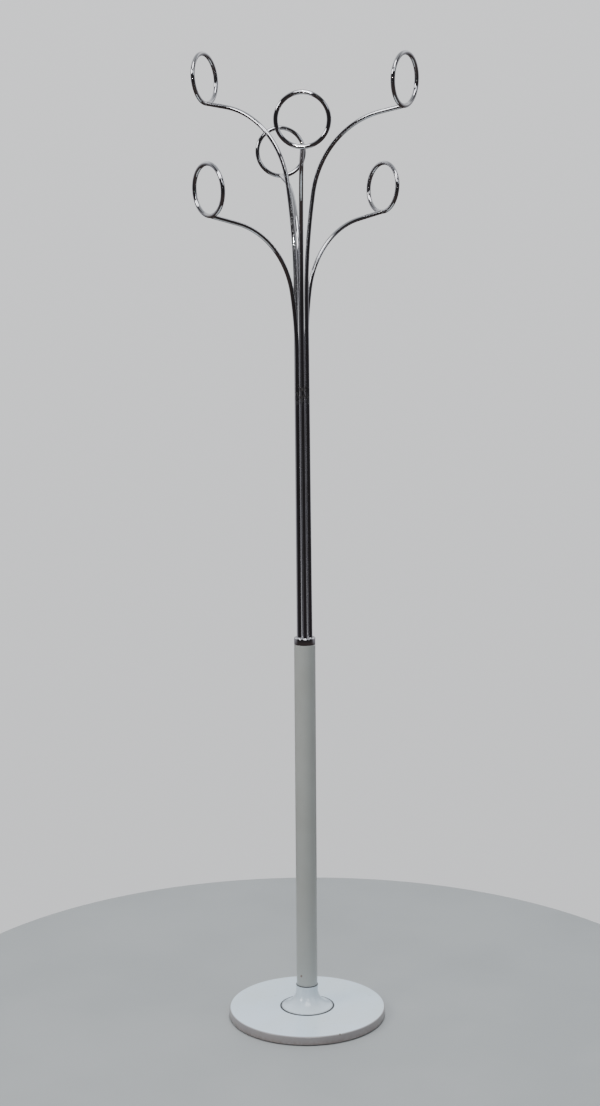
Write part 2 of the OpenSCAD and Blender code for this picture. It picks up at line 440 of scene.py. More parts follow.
@dataclass(frozen=True)
class PlatedSteel:
    """Plated steel hardware with turning marks."""

    name: str
    colour: Colour
    aged_colour: Colour
    roughness: float = 0.32

    def build(self) -> Material:
        """Make the material.

        Returns:
            Satin plated steel.
        """
        graph = new_graph(self.name)
        mottle = graph.noise(85.0, 4.0)
        rings = {"wave_type": "RINGS", "rings_direction": "Z"}
        inputs = {"Vector": graph.place(), "Scale": 900.0, "Distortion": 1.2}
        turning = graph.node("ShaderNodeTexWave", rings, inputs, "Fac")
        colour = graph.blend(mottle.ramp(0.38, 0.70), self.colour, self.aged_colour)
        rough = self.roughness + (mottle - 0.5) * 0.25 + (turning - 0.5) * 0.06
        return graph.finish(
            Base_Color=colour,
            Metallic=1.0,
            Roughness=rough.clipped(),
            Normal=graph.bump(turning, 0.15, 0.05 * MM),
        )


@dataclass(frozen=True)
class PressedFelt:
    """Dense grey-brown felt with loose fibres on its face."""

    name: str = "pressed_felt"

    def build(self) -> Material:
        """Make the material.

        Returns:
            Matte fibrous felt.
        """
        graph = new_graph(self.name)
        along = graph.noise(900.0, 6.0, (1.0, 0.25, 1.0))
        across = graph.noise(1000.0, 6.0, (0.25, 1.0, 1.0))
        tufts = (along + across) * 0.5
        colour = graph.blend(tufts.ramp(0.36, 0.66), (0.055, 0.048, 0.042), (0.20, 0.185, 0.17))
        return graph.finish(
            Base_Color=colour,
            Roughness=(0.88 + tufts * 0.12).clipped(),
            Normal=graph.bump(tufts, 0.9, 0.8 * MM),
            Sheen_Weight=0.25,
        )


@dataclass(frozen=True)
class StudioFloor:
    """Plain pale floor."""

    name: str = "studio_floor"
    colour: Colour = (0.40, 0.395, 0.385)

    def build(self) -> Material:
        """Make the material.

        Returns:
            A matte pale floor with the faintest mottling.
        """
        graph = new_graph(self.name)
        mottle = graph.noise(3.0, 3.0)
        darker = tuple(channel * 0.94 for channel in self.colour)
        colour = graph.blend(mottle.ramp(0.35, 0.65), self.colour, darker)
        return graph.finish(Base_Color=colour, Roughness=(0.45 + mottle * 0.1).clipped())


# ---------------------------------------------------------------- modelling bench


class Outline:
    """The section of a turned piece, as points of radius and height in metres."""

    def __init__(self, *points: Point) -> None:
        """Begin with some points, in millimetres."""
        self.points: list[Point] = []
        self.to(*points)

    def to(self, *points: Point) -> "Outline":
        """Go straight from point to point, in millimetres."""
        self.points += [(radius * MM, height * MM) for radius, height in points]
        return self

    def arc(self, centre: Point, radius: float, first: float, last: float, steps: int) -> "Outline":
        """Follow an arc that includes both of its ends.

        Args:
            centre: the arc's centre, in millimetres.
            radius: its radius, in millimetres.
            first: angle at which it starts, in degrees from straight outwards.
            last: angle at which it ends.
            steps: number of straight pieces.

        Returns:
            The outline itself.
        """
        for step in range(steps + 1):
            angle = math.radians(first + (last - first) * step / steps)
            self.to((centre[0] + radius * math.cos(angle), centre[1] + radius * math.sin(angle)))
        return self


class Bench:
    """Work on one piece at a time with Blender's operators."""

    @staticmethod
    def clear() -> None:
        """Deselect everything."""
        bpy.ops.object.select_all(action="DESELECT")

    @classmethod
    def pick(cls, piece: Piece) -> None:
        """Make the piece the only selected one."""
        cls.clear()
        piece.select_set(True)
        bpy.context.view_layer.objects.active = piece

    @classmethod
    def circle(cls, name: str, radius: float, sides: int, at: Matrix) -> Piece:
        """Add an open circle and start to edit it, with all of it selected.

        Args:
            name: the piece's name.
            radius: the circle's radius.
            sides: number of vertices.
            at: where it lies; its axis is the place's Z.

        Returns:
            The new object.
        """
        cls.clear()
        bpy.ops.mesh.primitive_circle_add(
            vertices=sides, radius=radius, location=at.translation, rotation=at.to_euler(),
        )
        piece = bpy.context.object
        piece.name = name
        piece.data.name = name
        bpy.ops.object.transform_apply()
        bpy.ops.object.mode_set(mode="EDIT")
        bpy.ops.mesh.select_mode(type="VERT")
        bpy.ops.mesh.select_all(action="SELECT")
        return piece

    @staticmethod
    def cap_start() -> None:
        """Close the first loop with a face of its own and keep only its twin selected."""
        bpy.ops.mesh.duplicate()
        bpy.ops.mesh.edge_face_add()
        bpy.ops.mesh.select_all(action="INVERT")

    @staticmethod
    def extrude(offset: Vector) -> None:
        """Extrude the selected loop by an offset."""
        bpy.ops.mesh.extrude_region_move(TRANSFORM_OT_translate={"value": offset})

    @staticmethod
    def resize(factors: Sequence[float], centre: Vector, axes: Matrix | None = None) -> None:
        """Scale the selected loop about its centre, along the world's axes or a place's."""
        turned = Matrix.Identity(3) if axes is None else axes.to_3x3()
        bpy.ops.transform.resize(
            value=factors, center_override=centre, orient_type="GLOBAL",
            orient_matrix=turned, orient_matrix_type="GLOBAL",
        )

    @classmethod
    def close(cls, piece: Piece) -> Piece:
        """Merge doubles, turn the faces outwards and shade the piece.

        Args:
            piece: the piece, in edit mode.

        Returns:
            The piece, in object mode.
        """
        bpy.ops.mesh.select_all(action="SELECT")
        bpy.ops.mesh.remove_doubles(threshold=MERGE_DISTANCE)
        bpy.ops.mesh.normals_make_consistent(inside=False)
        bpy.ops.object.mode_set(mode="OBJECT")
        cls.shade(piece)
        return piece

    @classmethod
    def shade(cls, piece: Piece) -> None:
        """Shade smooth, apart from the creases."""
        cls.pick(piece)
        bpy.ops.object.shade_smooth_by_angle(angle=math.radians(CREASE_ANGLE))

    @classmethod
    def lathe(cls, name: str, outline: Outline, sides: int = 96, capped: bool = False) -> Piece:
        """Turn a section about the column's axis.

        Args:
            name: the piece's name.
            outline: the section; unless it is capped, it ends where it began.
            sides: number of vertices round the axis.
            capped: whether a flat face closes its first and last loop.

        Returns:
            The piece.
        """
        points = outline.points if capped else outline.points + outline.points[:1]
        radius, height = points[0]
        piece = cls.circle(name, radius, sides, Matrix.Translation(UP * height))
        if capped:
            cls.cap_start()
        for new_radius, new_height in points[1:]:
            if math.dist((radius, height), (new_radius, new_height)) < MERGE_DISTANCE:
                continue
            cls.extrude(UP * (new_height - height))
            factor = new_radius / radius
            cls.resize((factor, factor, 1.0), UP * new_height)
            radius, height = new_radius, new_height
        if capped:
            bpy.ops.mesh.edge_face_add()
        return cls.close(piece)

    @classmethod
    def cylinder(cls, sides: int, radius: float, length: float, at: Matrix) -> Piece:
        """Add a closed cylinder whose middle and axis are a place's.

        Args:
            sides: number of its flat sides.
            radius: its radius.
            length: its length.
            at: where it lies.

        Returns:
            The new object.
        """
        cls.clear()
        bpy.ops.mesh.primitive_cylinder_add(
            vertices=sides, radius=radius, depth=length, location=at.translation, rotation=at.to_euler(),
        )
        return bpy.context.object

    @classmethod
    def drill(cls, piece: Piece, radius: float, length: float, places: Iterable[Matrix]) -> None:
        """Cut round holes through a piece.

        Args:
            piece: the piece.
            radius: the holes' radius.
            length: length of the cutter, which is centred on each place.
            places: where the holes are; each one's Z is the hole's axis.
        """
        for place in places:
            cutter = cls.cylinder(CUTTER_SIDES, radius, length, place)
            cls.modify(piece, "BOOLEAN", operation="DIFFERENCE", object=cutter, solver="EXACT")
            bpy.data.objects.remove(cutter)
        cls.shade(piece)

    @classmethod
    def modify(cls, piece: Piece, kind: str, **settings: Any) -> None:
        """Add a modifier, set it up and apply it.

        Args:
            piece: the piece.
            kind: the modifier's type.
            settings: its properties.
        """
        cls.pick(piece)
        modifier = piece.modifiers.new(kind.lower(), kind)
        for key, value in settings.items():
            setattr(modifier, key, value)
        bpy.ops.object.modifier_apply(modifier=modifier.name)

    @classmethod
    def ease(cls, piece: Piece, width: float, segments: int = 2) -> None:
        """Round the sharp edges of a piece to this width, with so many faces across."""
        cls.modify(
            piece, "BEVEL", width=width, segments=segments,
            limit_method="ANGLE", angle_limit=math.radians(BEVEL_ANGLE),
        )
        cls.shade(piece)

    @classmethod
    def move_vertices(cls, piece: Piece, move: Callable[[Vector], Vector]) -> None:
        """Shape a finished mesh by a rule.

        Args:
            piece: the piece, in object mode.
            move: gives a vertex's new place from its old one.
        """
        for vertex in piece.data.vertices:
            vertex.co = move(vertex.co)
        piece.data.update()


class RodSweep:
    """Draws a round rod out of a circle, one stretch after another."""

    def __init__(self, name: str, start: Matrix, radius: float, sides: int) -> None:
        """Add the circle at the rod's first end.

        Args:
            name: the piece's name.
            start: its place; Z runs along the rod and bends turn towards X.
            radius: the rod's radius.
            sides: number of vertices round the rod.
        """
        self.place = start.copy()
        self.width = 1.0
        self.height = 1.0
        self.piece = Bench.circle(name, radius, sides, start)

    def straight(self, length: float, steps: int = 1) -> None:
        """Go straight on.

        Args:
            length: length of the stretch.
            steps: number of equal parts.
        """
        step = UP * (length / steps)
        for _ in range(steps):
            Bench.extrude(self.place.to_3x3() @ step)
            self.place = self.place @ Matrix.Translation(step)

    def swell(self, length: float, width: float, height: float) -> None:
        """Go straight on while the section changes.

        Args:
            length: length of the stretch.
            width: new size along the place's Y, as a share of the rod's.
            height: new size along the place's X, as a share of the rod's.
        """
        self.straight(length)
        factors = (height / self.height, width / self.width, 1.0)
        Bench.resize(factors, self.place.translation, self.place)
        self.width = width
        self.height = height

    def swell_all(self, stretches: Sequence[Sequence[float]]) -> None:
        """Swell through stretches that each give a length in millimetres, a width and a height."""
        for length, width, height in stretches:
            self.swell(length * MM, width, height)

    def bend(self, radius: float, turn: float, steps: int) -> None:
        """Bend towards the place's X.

        Args:
            radius: radius of the rod's middle line.
            turn: angle of the bend, in degrees.
            steps: number of parts.
        """
        centre = self.place @ Vector((radius, 0.0, 0.0))
        axis = self.place.to_3x3() @ Vector((0.0, 1.0, 0.0))
        # the operator turns clockwise about its axis
        bpy.ops.mesh.spin(steps=steps, angle=-math.radians(turn), center=centre, axis=axis)
        self.place = self.place @ past_bend(radius, turn)

    def cap(self) -> None:
        """Close the loop that the sweep has reached."""
        bpy.ops.mesh.edge_face_add()

    def finish(self) -> Piece:
        """Close the piece."""
        return Bench.close(self.piece)


def turned(angle: float, axis: str) -> Matrix:
    """A rotation about X, Y or Z, in degrees."""
    return Matrix.Rotation(math.radians(angle), 4, axis)


def past_bend(radius: float, turn: float) -> Matrix:
    """The step from the start of a bend to its end.

    Args:
        radius: radius of the bend's middle line.
        turn: angle of the bend, in degrees.

    Returns:
        The place of the bend's end, seen from its start.
    """
    angle = math.radians(turn)
    end = Vector((radius * (1 - math.cos(angle)), 0.0, radius * math.sin(angle)))
    return Matrix.Translation(end) @ turned(turn, "Y")


def round_size(node: str) -> tuple[float, float, float]:
    """Radius, bottom and top of a round CAD node on the column's axis, in millimetres."""
    low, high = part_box(node)
    return max(high.x, high.y) / MM, low.z / MM, high.z / MM


def mount(piece: Piece, node: str, material: Material) -> None:
    """Put a finished piece on the frame.

    Args:
        piece: the finished piece.
        node: the CAD node that it stands for.
        material: its finish.
    """
    piece.data.materials.clear()
    piece.data.materials.append(material)
    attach(piece, BODY)
    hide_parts(node)
    low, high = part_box(node)
    gap = 0.0
    for axis in range(3):
        values = [vertex.co[axis] for vertex in piece.data.vertices]
        gap = max(gap, abs(min(values) - low[axis]), abs(max(values) - high[axis]))
    faces = len(piece.data.polygons)
    log.info("%-24s %6d faces, box within %.2f mm of its node", piece.name, faces, gap / MM)


# ---------------------------------------------------------------- foot


@dataclass
class Foot:
    """Lacquered cover over an iron weight on felt, and the flared collar. Sizes in millimetres."""

    wall: float = 1.2
    edge_radius: float = 2.5
    groove: float = 1.0
    dish_floor: float = 15.6
    boss_radius: float = 14.0
    boss_top: float = 30.0
    bolt_hole: float = 5.5
    pocket_radius: float = 11.5
    pocket_top: float = 14.0
    fit: float = 0.4
    hole_room: float = 0.2
    collar_room: float = 0.1
    flare_radius: float = 36.0
    socket_slip: float = 0.1
    socket_floor: float = 34.0
    felt_width: float = 30.0
    felt_softness: float = 0.5
    fray_depth: float = 0.33
    lip_wall: float = 1.2
    lip_radius: float = 0.4
    rim_rise: float = 0.6
    top_loops: tuple[float, ...] = (60.0, 80.0, 105.0, 125.0, 140.0)
    side_loops: tuple[float, ...] = (11.0, 6.0)
    chip: tuple[float, float, float] = (60.0, -136.5, 18.0)
    dent_reach: float = 6.5
    dent_in: float = 0.6
    dent_down: float = 0.5
    dent_cuts: int = 5
    sides: int = 192

    def __post_init__(self) -> None:
        """Take the main sizes from the frame."""
        self.radius, self.bottom, self.top = round_size("base_cover")
        self.collar_radius, _, self.collar_top = round_size("foot_collar")
        self.felt_radius, _, self.felt_top = round_size("floor_felt")
        self.socket_radius = round_size("column_tube")[0] + self.socket_slip

    def build(self, white: Material, collar_white_blue_painted_light: Material, iron: Material, felt: Material) -> None:
        """Model and dress the foot's pieces.

        Args:
            white: finish of the cover.
            collar_white_blue_painted_light: finish of the collar.
            iron: finish of the weight.
            felt: finish of the felt ring.
        """
        mount(self.felt_ring(), "floor_felt", felt)
        mount(self.weight(), "base_weight", iron)
        mount(self.cover(), "base_cover", white)
        mount(self.collar(), "foot_collar", collar_white_blue_painted_light)

    def felt_ring(self) -> Piece:
        """Model the felt ring, with its worn and slightly uneven edges.

        Returns:
            The ring.
        """
        outer, top, soft = self.felt_radius, self.felt_top, self.felt_softness
        inner = outer - self.felt_width
        bulge = 0.1
        outline = Outline((inner + soft, 0.0), (outer - soft, 0.0), (outer - bulge, soft), (outer, top / 2))
        outline.to((outer - bulge, top - soft), (outer - soft, top), (inner + soft, top))
        outline.to((inner, top - soft), (inner, soft))
        ring = Bench.lathe("foot_felt_ring", outline, self.sides)

        def fray(place: Vector) -> Vector:
            """Pull the edge in by up to the depth of the fraying."""
            pull = self.fray_depth * MM * abs(noise.noise(place * FRAY_GRAIN))
            flat = Vector((place.x, place.y, 0.0))
            side = 1.0 if flat.length > (outer + inner) / 2 * MM else -1.0
            return place - flat.normalized() * (pull * side)

        Bench.move_vertices(ring, fray)
        return ring

    def weight(self) -> Piece:
        """Model the cast weight with its boss, dish and nut pocket.

        Returns:
            The weight.
        """
        rim = self.radius - self.wall - self.fit
        top = self.top - self.wall
        bottom = self.felt_top
        chamfer, ease = 1.0, 0.5
        recess = self.collar_radius + self.groove + self.wall + self.fit
        recess_floor = self.dish_floor - self.wall
        outline = Outline((self.pocket_radius + ease, bottom), (rim - chamfer, bottom))
        outline.to((rim, bottom + chamfer))
        outline.to((rim, top - self.edge_radius - chamfer), (rim - self.edge_radius, top))
        outline.to((recess, top), (recess, recess_floor), (self.boss_radius, recess_floor))
        outline.to((self.boss_radius, self.boss_top - ease), (self.boss_radius - ease, self.boss_top))
        outline.to((self.bolt_hole, self.boss_top), (self.bolt_hole, self.pocket_top))
        outline.to((self.pocket_radius, self.pocket_top), (self.pocket_radius, bottom + ease))
        return Bench.lathe("cast_weight", outline, self.sides)

    def cover(self) -> Piece:
        """Model the pressed cover: rounded edge, rounded dish rim, turned lower edge and a dent.

        Returns:
            The cover.
        """
        edge = self.edge_radius
        dish = self.collar_radius + self.groove
        under = self.dish_floor - self.wall
        hole = self.boss_radius + self.hole_room
        soft, fillet = 0.6, 0.3
        outline = Outline((hole, under), (hole, self.dish_floor), (dish - fillet, self.dish_floor))
        outline.to((dish, self.dish_floor + fillet))
        outline.arc((dish + soft, self.top - soft), soft, 180.0, 90.0, 5)
        outline.to(*((radius, self.top) for radius in self.top_loops))
        outline.arc((self.radius - edge, self.top - edge), edge, 90.0, 0.0, 10)
        outline.to(*((self.radius, height) for height in self.side_loops))
        hem = self.wall / 2
        outline.arc((self.radius - hem, self.bottom + hem), hem, 0.0, -180.0, 8)
        outline.arc((self.radius - edge, self.top - edge), edge - self.wall, 0.0, 90.0, 5)
        outline.to((dish + self.wall, self.top - self.wall), (dish + self.wall, under))
        cover = Bench.lathe("foot_cover", outline, self.sides)
        self._dent(cover)
        return cover

    def _dent(self, cover: Piece) -> None:
        """Knock a small dent into the cover's rim.

        Args:
            cover: the cover.
        """
        spot = Vector(self.chip) * MM
        reach = self.dent_reach * MM
        Bench.pick(cover)
        bpy.ops.object.mode_set(mode="EDIT")
        bpy.ops.mesh.select_mode(type="FACE")
        bpy.ops.mesh.select_all(action="DESELECT")
        bpy.ops.object.mode_set(mode="OBJECT")
        for face in cover.data.polygons:
            outward = face.normal.z > -0.1
            if outward and (face.center - spot).length < reach * 1.6:
                face.select = True
        bpy.ops.object.mode_set(mode="EDIT")
        bpy.ops.mesh.subdivide(number_cuts=self.dent_cuts)
        bpy.ops.object.mode_set(mode="OBJECT")
        inward = Vector((-spot.x, -spot.y, -0.12)).normalized()

        def knock(place: Vector) -> Vector:
            """Move a point in and down near the spot."""
            near = max(0.0, 1.0 - (place - spot).length / reach)
            rough = 0.75 + 0.5 * noise.noise(place * DENT_GRAIN)
            return place + (inward * self.dent_in - UP * self.dent_down) * (MM * near * near * rough)

        Bench.move_vertices(cover, knock)
        Bench.shade(cover)

    def collar(self) -> Piece:
        """Model the flared collar with its socket and thin lip.

        Returns:
            The collar.
        """
        lip = self.socket_radius + self.lip_wall
        rim_height = self.top + self.rim_rise
        reach = lip + self.flare_radius
        overrun = reach - self.collar_radius
        flare_height = rim_height + math.sqrt(self.flare_radius ** 2 - overrun ** 2)
        rim_angle = -90.0 - math.degrees(math.asin((overrun + 0.5) / self.flare_radius))
        room = self.boss_radius + self.collar_room
        edge = self.collar_radius
        floor, soft = self.dish_floor, self.lip_radius
        outline = Outline((room, floor), (edge - soft, floor), (edge, floor + soft))
        outline.to((edge, self.top), (edge - 0.12, rim_height - 0.2))
        outline.arc((reach, flare_height), self.flare_radius, rim_angle, -180.0, 40)
        outline.to((lip, self.collar_top - soft))
        outline.arc((lip - soft, self.collar_top - soft), soft, 0.0, 90.0, 4)
        socket = self.socket_radius
        outline.to((socket + 0.15, self.collar_top), (socket, self.collar_top - 0.2))
        outline.to((socket, self.socket_floor), (self.bolt_hole, self.socket_floor))
        outline.to((self.bolt_hole, self.boss_top), (room, self.boss_top))
        return Bench.lathe("foot_collar_flare", outline, 128)


# ---------------------------------------------------------------- column


@dataclass
class Column:
    """Lacquered tube and the tie rod that clamps it to the foot. Sizes in millimetres."""

    wall: float = 1.5
    rod_radius: float = 5.0
    bolt_hole: float = 5.05
    thread_pitch: float = 1.5
    thread_depth: float = 0.55
    thread_length: float = 15.0
    point: float = 0.8
    split: float = 2.0
    drill_length: float = 20.0
    tube_loops: int = 14
    sides: int = 96

    def build(self, white: Material, zinc: Material, spring: Material) -> None:
        """Model and dress the column's pieces.

        Args:
            white: finish of the tube.
            zinc: finish of the rod, washer and nut.
            spring: finish of the spring washer.
        """
        mount(self.tube(), "column_tube", white)
        mount(self.tie_rod(), "tie_rod", zinc)
        mount(self.washer(), "base_washer", zinc)
        mount(self.spring_washer(), "spring_washer", spring)
        mount(self.nut(), "base_nut", zinc)

    def tube(self) -> Piece:
        """Model the tube, with eased ends.

        Returns:
            The tube.
        """
        radius, bottom, top = round_size("column_tube")
        bore = radius - self.wall
        soft, chamfer = 0.3, 0.2
        first, length = bottom + soft, top - bottom - 2 * soft
        loops = self.tube_loops
        outline = Outline((bore, bottom + chamfer), (bore + chamfer, bottom), (radius - soft, bottom))
        outline.to(*((radius, first + length * loop / loops) for loop in range(loops + 1)))
        outline.to((radius - soft, top), (bore + chamfer, top), (bore, top - chamfer))
        return Bench.lathe("column_tube_lacquered", outline, self.sides)

    def tie_rod(self) -> Piece:
        """Model the tie rod, threaded at both ends.

        Returns:
            The rod.
        """
        _, bottom, top = round_size("tie_rod")
        fine = self.thread_pitch / 4
        steps = round(self.thread_length / fine)
        radius, point = self.rod_radius, self.point
        outline = Outline((radius - point, bottom))
        outline.to(*((radius, bottom + point + fine * step) for step in range(steps)))
        outline.to(*((radius, top - point - fine * step) for step in reversed(range(steps))))
        outline.to((radius - point, top))
        rod = Bench.lathe("tie_rod_threaded", outline, 32, capped=True)
        first, last = (bottom + self.thread_length) * MM, (top - self.thread_length) * MM

        def cut_thread(place: Vector) -> Vector:
            """Press the groove of a helix into the ends."""
            if first < place.z < last:
                return place
            turns = place.z / (self.thread_pitch * MM) - math.atan2(place.y, place.x) / math.tau
            groove = abs(2.0 * (turns % 1.0) - 1.0) * self.thread_depth * MM
            flat = Vector((place.x, place.y, 0.0))
            return place - flat.normalized() * min(groove, flat.length * 0.2)

        Bench.move_vertices(rod, cut_thread)
        return rod

    def washer(self) -> Piece:
        """Model the stamped washer.

        Returns:
            The washer.
        """
        radius, bottom, top = round_size("base_washer")
        hole, rolled, burr, chamfer = self.bolt_hole, 0.5, 0.1, 0.2
        corner = rolled * 0.3
        outline = Outline((hole, bottom), (radius - rolled, bottom), (radius - corner, bottom + corner))
        outline.to((radius, bottom + rolled), (radius, top - burr), (radius - burr, top))
        outline.to((hole + chamfer, top), (hole, top - chamfer))
        return Bench.lathe("base_washer_stamped", outline, 64)

    def spring_washer(self) -> Piece:
        """Model the split washer as a square bar bent round the rod.

        Returns:
            The washer.
        """
        radius, bottom, top = round_size("spring_washer")
        bar = radius - self.bolt_hole
        middle = (radius + self.bolt_hole) / 2
        cut = math.degrees(self.split / 2 / middle)
        start = turned(cut, "Z") @ Matrix.Translation(Vector((middle, 0.0, (bottom + top) / 2)) * MM)
        start = start @ turned(-90.0, "X") @ turned(180.0, "Z")
        sweep = RodSweep("split_spring_washer", start @ turned(45.0, "Z"), bar / math.sqrt(2) * MM, 4)
        Bench.resize((1.0, 1.0, (top - bottom) / bar), start.translation)
        Bench.cap_start()
        sweep.place = start
        sweep.bend(middle * MM, 360.0 - 2 * cut, 60)
        sweep.cap()
        washer = sweep.finish()
        Bench.ease(washer, 0.25 * MM)
        return washer

    def nut(self) -> Piece:
        """Model the hexagon nut with chamfered corners.

        Returns:
            The nut.
        """
        corner, bottom, top = round_size("base_nut")
        middle = Matrix.Translation(UP * ((bottom + top) / 2 * MM))
        clear, cut, slope = corner + 0.4, corner - 1.4, 1.0
        outline = Outline((cut, bottom), (clear, bottom + slope), (clear, top - slope), (cut, top))
        chamfer = Bench.lathe("nut_chamfer", outline, 64, capped=True)
        nut = Bench.cylinder(6, corner * MM, (top - bottom) * MM, middle @ turned(90.0, "Z"))
        nut.name = "base_nut_hexagon"
        nut.data.name = nut.name
        bpy.ops.object.transform_apply()
        Bench.modify(nut, "BOOLEAN", operation="INTERSECT", object=chamfer, solver="EXACT")
        bpy.data.objects.remove(chamfer)
        Bench.drill(nut, self.bolt_hole * MM, self.drill_length * MM, [middle])
        Bench.ease(nut, 0.2 * MM)
        return nut


# ---------------------------------------------------------------- arms


class Pair(Enum):
    """The arms' three pairs, by the height of their rings."""

    LOW = "low"
    MIDDLE = "middle"
    HIGH = "high"


@dataclass(frozen=True)
class BendPlan:
    """How the rods of one pair are bent. Sizes in millimetres and degrees."""

    ring_height: float
    gentle_radius: float
    tight_radius: float
    end_slope: float
    end_run: float
    gentle_turn: float = 9.6

    @property
    def tight_turn(self) -> float:
        """Angle of the tight bend."""
        return 90.0 - self.end_slope - self.gentle_turn

    @property
    def rise(self) -> float:
        """Height that both bends and the last stretch gain."""
        gentle = math.sin(math.radians(self.gentle_turn))
        level = math.sin(math.radians(90.0 - self.end_slope))
        run = self.end_run * math.sin(math.radians(self.end_slope))
        return self.gentle_radius * gentle + self.tight_radius * (level - gentle) + run


PLANS: dict[Pair, BendPlan] = {
    Pair.LOW: BendPlan(1526.0, 690.0, 154.0, 13.0, 59.0),
    Pair.MIDDLE: BendPlan(1617.0, 910.0, 159.0, 12.0, 72.0),
    Pair.HIGH: BendPlan(1718.0, 1160.0, 167.0, 10.5, 45.0),
}


# angle from one bore of the head to the next
BORE_STEP = 60.0

# stretches of braze: length in millimetres, then width and height as shares of the rod's
HEAD_BRAZE = ((0.03, 1.11, 1.11), (0.15, 1.06, 1.06), (0.3, 1.02, 1.02), (0.5, 1.0, 1.0))
RING_BRAZE = (
    (1.2, 1.02, 1.0), (0.9, 1.07, 1.0), (0.7, 1.15, 1.01), (0.6, 1.26, 1.02),
    (0.6, 1.38, 1.02), (0.6, 1.44, 1.01), (0.9, 1.40, 0.99), (0.9, 1.25, 0.92),
)


def braze_length(stretches: Sequence[Sequence[float]]) -> float:
    """Length of a row of stretches, in millimetres."""
    return sum(length for length, _, _ in stretches)


@dataclass
class HangingArm:
    """One bent rod with its ring. Sizes in millimetres and degrees."""

    side: str
    bore: int
    pair: Pair
    turn: float
    lift: float
    twist: float
    rod_radius: float = 4.0
    ring_radius: float = 45.0
    ring_lean: float = 3.5
    circle_radius: float = 11.7
    rod_lean: float = 0.1
    bore_turn: float = 6.0
    bundle_lean: float = 0.2
    tail: float = 117.0
    chamfer: float = 0.5
    tip_gap: float = 0.6
    rod_heat: float = 16.0
    ring_heat: float = 11.0
    sides: int = 40
    straight_loops: int = 12
    gentle_loops: int = 16
    tight_loops: int = 48
    ring_loops: int = 160

    @property
    def plan(self) -> BendPlan:
        """The pair's bends."""
        return PLANS[self.pair]

    def foot(self, turn: float | None = None) -> Matrix:
        """The place where the rod's middle line leaves the head.

        Args:
            turn: turn of the rod in its bore, or none for the arm's own.

        Returns:
            The place, with Z along the rod and X on the side that it bends to.
        """
        head_top = round_size("rod_head")[2]
        place = Matrix.Translation(UP * (head_top * MM)) @ turned(-self.bundle_lean, "Y")
        place = place @ turned(self.bore * BORE_STEP - 90.0 + self.bore_turn, "Z")
        place = place @ Matrix.Translation((self.circle_radius * MM, 0.0, 0.0))
        return place @ turned(-self.rod_lean, "Y") @ turned(self.turn if turn is None else turn, "Z")

    def straight_run(self) -> float:
        """Length of the rod between the head and its gentle bend."""
        head_top = round_size("rod_head")[2]
        return self.plan.ring_height + self.lift - self.plan.rise - head_top

    def joint(self) -> Matrix:
        """The place where the rod's middle line meets the ring's.

        Returns:
            The place, with Z along the rod.
        """
        place = self.foot() @ Matrix.Translation(UP * (self.straight_run() * MM))
        place = place @ past_bend(self.plan.gentle_radius * MM, self.plan.gentle_turn)
        place = place @ past_bend(self.plan.tight_radius * MM, self.plan.tight_turn)
        return place @ Matrix.Translation(UP * (self.plan.end_run * MM))

    def build(self, chrome: Material) -> None:
        """Model and dress the arm and its ring."""
        mount(self.rod(), "arm_" + self.side, chrome)
        mount(self.ring(), "ring_" + self.side, chrome)

    def rod(self) -> Piece:
        """Model the rod, from its end in the spacer to its brazed joint with the ring.

        Returns:
            The rod.
        """
        plan = self.plan
        start = self.foot() @ Matrix.Translation(UP * (-self.tail * MM))
        chamfer = self.chamfer
        sweep = RodSweep("arm_rod_" + self.side, start, (self.rod_radius - chamfer) * MM, self.sides)
        sweep.width = sweep.height = 1.0 - chamfer / self.rod_radius
        Bench.cap_start()
        sweep.swell(chamfer * MM, 1.0, 1.0)
        sweep.straight((self.tail - chamfer) * MM, 6)
        sweep.swell_all(HEAD_BRAZE)
        sweep.straight((self.straight_run() - braze_length(HEAD_BRAZE)) * MM, self.straight_loops)
        sweep.bend(plan.gentle_radius * MM, plan.gentle_turn, self.gentle_loops)
        sweep.bend(plan.tight_radius * MM, plan.tight_turn, self.tight_loops)
        sweep.straight((plan.end_run - self.tip_gap - braze_length(RING_BRAZE)) * MM, 4)
        sweep.swell_all(RING_BRAZE)
        sweep.cap()
        rod = sweep.finish()
        self.heat(rod, self.rod_heat)
        return rod

    def ring(self) -> Piece:
        """Model the ring.

        Returns:
            The ring.
        """
        place = self.joint() @ turned(self.plan.end_slope - 90.0, "Y") @ turned(self.twist, "Z")
        place = place @ turned(self.ring_lean, "Y")
        start = place @ turned(-90.0, "X") @ turned(-90.0, "Z")
        sweep = RodSweep("hanging_ring_" + self.side, start, self.rod_radius * MM, self.sides)
        sweep.bend(self.ring_radius * MM, 360.0, self.ring_loops)
        ring = sweep.finish()
        self.heat(ring, self.ring_heat)
        return ring

    def heat(self, piece: Piece, reach: float) -> None:
        """Store how near each vertex is to the brazed joint, in the joint_heat attribute.

        Args:
            piece: a rod or a ring.
            reach: distance at which nothing is left of it.
        """
        joint = self.joint().translation
        shares = []
        for vertex in piece.data.vertices:
            share = max(0.0, 1.0 - (vertex.co - joint).length / (reach * MM))
            shares.append(share * share * (3.0 - 2.0 * share))
        layer = piece.data.attributes.new("joint_heat", "FLOAT", "POINT")
        layer.data.foreach_set("value", shares)


# arms in the order of their bores: side, bore, pair, turn in the bore, lift, twist of the ring
ARMS: tuple[HangingArm, ...] = (
    HangingArm("front", 0, Pair.MIDDLE, -5.0, 17.0, -0.5),
    HangingArm("front_right", 1, Pair.HIGH, -3.5, -10.0, -3.0),
    HangingArm("back_right", 2, Pair.LOW, 2.5, 3.0, -4.5),
    HangingArm("back", 3, Pair.MIDDLE, 3.5, -17.0, 1.5),
    HangingArm("back_left", 4, Pair.HIGH, -9.5, 11.0, 8.0),
    HangingArm("front_left", 5, Pair.LOW, 0.0, -4.0, 0.0),
)


